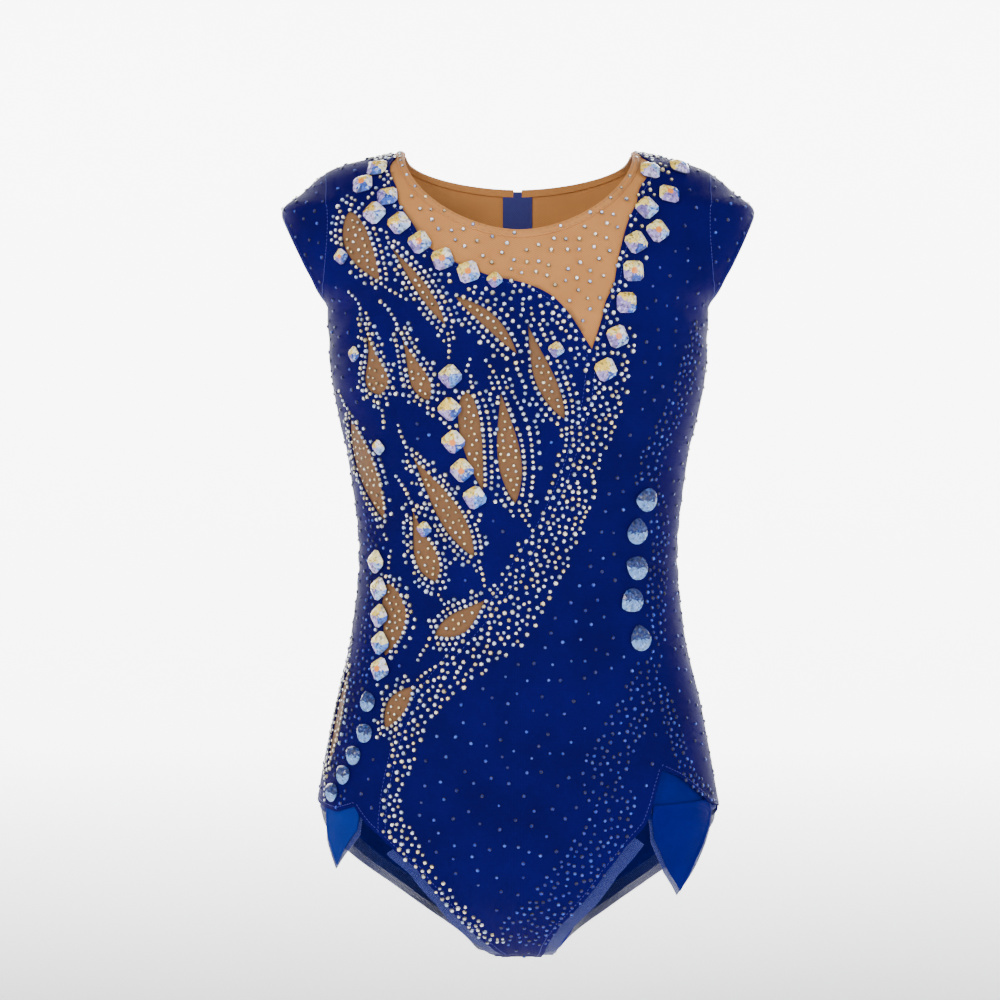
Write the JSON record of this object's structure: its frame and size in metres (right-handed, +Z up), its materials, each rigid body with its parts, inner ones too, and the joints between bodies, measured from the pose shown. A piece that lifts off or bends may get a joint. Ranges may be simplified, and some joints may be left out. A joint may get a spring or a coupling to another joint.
{
  "type": "gymnastics leotard",
  "caption": "Cap-sleeved competition leotard, worn shape: stretch panels over net yoke, leaf windows, pointed hem with hip tabs, back zip and sew-on stones.",
  "frame": {"origin": "midway between the shoulders, level with the top of the shoulder seams", "axes": "+Z up, the front faces -Y, +X is the wearer's left"},
  "size_m": [0.375, 0.2195, 0.6423],
  "materials": {
    "blue_lycra": "royal blue stretch knit, soft sheen",
    "nude_net": "fine skin-tone stretch net",
    "sheer_net": "sheer blue-grey stretch net",
    "liner_cotton": "off-white cotton jersey lining",
    "zip_nylon": "woven nylon tape and coil, dyed blue",
    "zip_metal": "enamelled zinc slider, blue",
    "clear_stone": "facet-cut glass, foiled back, iridescent",
    "blue_stone": "facet-cut light blue glass, foiled back"
  },
  "bodies": {
    "garment": {"front_panel": "blue_lycra", "front_applique": "blue_lycra", "front_net_base": "nude_net", "back_yoke_left": "nude_net", "back_yoke_right": "nude_net", "back_panel_left": "blue_lycra", "back_panel_right": "blue_lycra", "cap_sleeve_left": "blue_lycra", "cap_sleeve_right": "blue_lycra", "neck_binding": "nude_net", "briefs": "blue_lycra", "crotch_liner": "liner_cotton", "hem_net_left": "sheer_net", "hem_net_right": "sheer_net", "zip_tape": "zip_nylon", "zip_chain": "zip_nylon", "square_stone_yoke_right_1": "clear_stone", "square_stone_yoke_right_2": "clear_stone", "square_stone_yoke_right_3": "clear_stone", "square_stone_yoke_right_4": "clear_stone", "square_stone_yoke_right_5": "clear_stone", "square_stone_yoke_right_6": "clear_stone", "square_stone_yoke_right_7": "clear_stone", "square_stone_yoke_right_8": "clear_stone", "square_stone_yoke_left_1": "clear_stone", "square_stone_yoke_left_2": "clear_stone", "square_stone_yoke_left_3": "clear_stone", "square_stone_yoke_left_4": "clear_stone", "square_stone_yoke_left_5": "clear_stone", "square_stone_yoke_left_6": "clear_stone", "square_stone_yoke_left_7": "clear_stone", "square_stone_yoke_left_8": "clear_stone", "square_stone_yoke_left_9": "clear_stone", "square_stone_yoke_left_10": "clear_stone", "square_stone_ribs_1": "clear_stone", "square_stone_ribs_2": "clear_stone", "square_stone_ribs_3": "clear_stone", "square_stone_ribs_4": "clear_stone", "square_stone_ribs_5": "clear_stone", "square_stone_waist_1": "clear_stone", "square_stone_waist_2": "clear_stone", "square_stone_waist_3": "clear_stone", "square_stone_waist_4": "clear_stone", "square_stone_waist_5": "clear_stone", "pear_stone_side_1": "blue_stone", "pear_stone_side_2": "blue_stone", "pear_stone_side_3": "blue_stone", "pear_stone_side_4": "blue_stone", "pear_stone_side_5": "blue_stone", "pear_stone_hip_1": "blue_stone", "pear_stone_hip_2": "blue_stone", "pear_stone_hip_3": "blue_stone", "pear_stone_hip_4": "blue_stone", "pear_stone_hip_5": "blue_stone"},
    "zip_slider": {"zip_slider": "zip_metal"},
    "zip_pull": {"zip_pull": "zip_metal"},
    "hip_tab_left": {"hip_tab_left": "blue_lycra", "hip_tab_net_left": "sheer_net"},
    "hip_tab_right": {"hip_tab_right": "blue_lycra", "hip_tab_net_right": "sheer_net"}
  },
  "joints": [
    {"name": "zip_slide", "type": "slide", "parent": "garment", "child": "zip_slider", "axis": [0, 0.1088, -0.9941], "range_m": [0, 0.16]},
    {"name": "zip_pull_swing", "type": "hinge", "parent": "zip_slider", "child": "zip_pull", "pos_m": [0, 0.07651, -0.03762], "axis": [1, 0, 0], "range_deg": [0, 170]},
    {"name": "hip_tab_left_lift", "type": "hinge", "parent": "garment", "child": "hip_tab_left", "pos_m": [0.10304, -0.07928, -0.52096], "axis": [-0.7671, -0.6416, 0], "range_deg": [0, 70]},
    {"name": "hip_tab_right_lift", "type": "hinge", "parent": "garment", "child": "hip_tab_right", "pos_m": [-0.12392, -0.06855, -0.52096], "axis": [-0.6937, 0.7203, 0], "range_deg": [0, 70]}
  ]
}
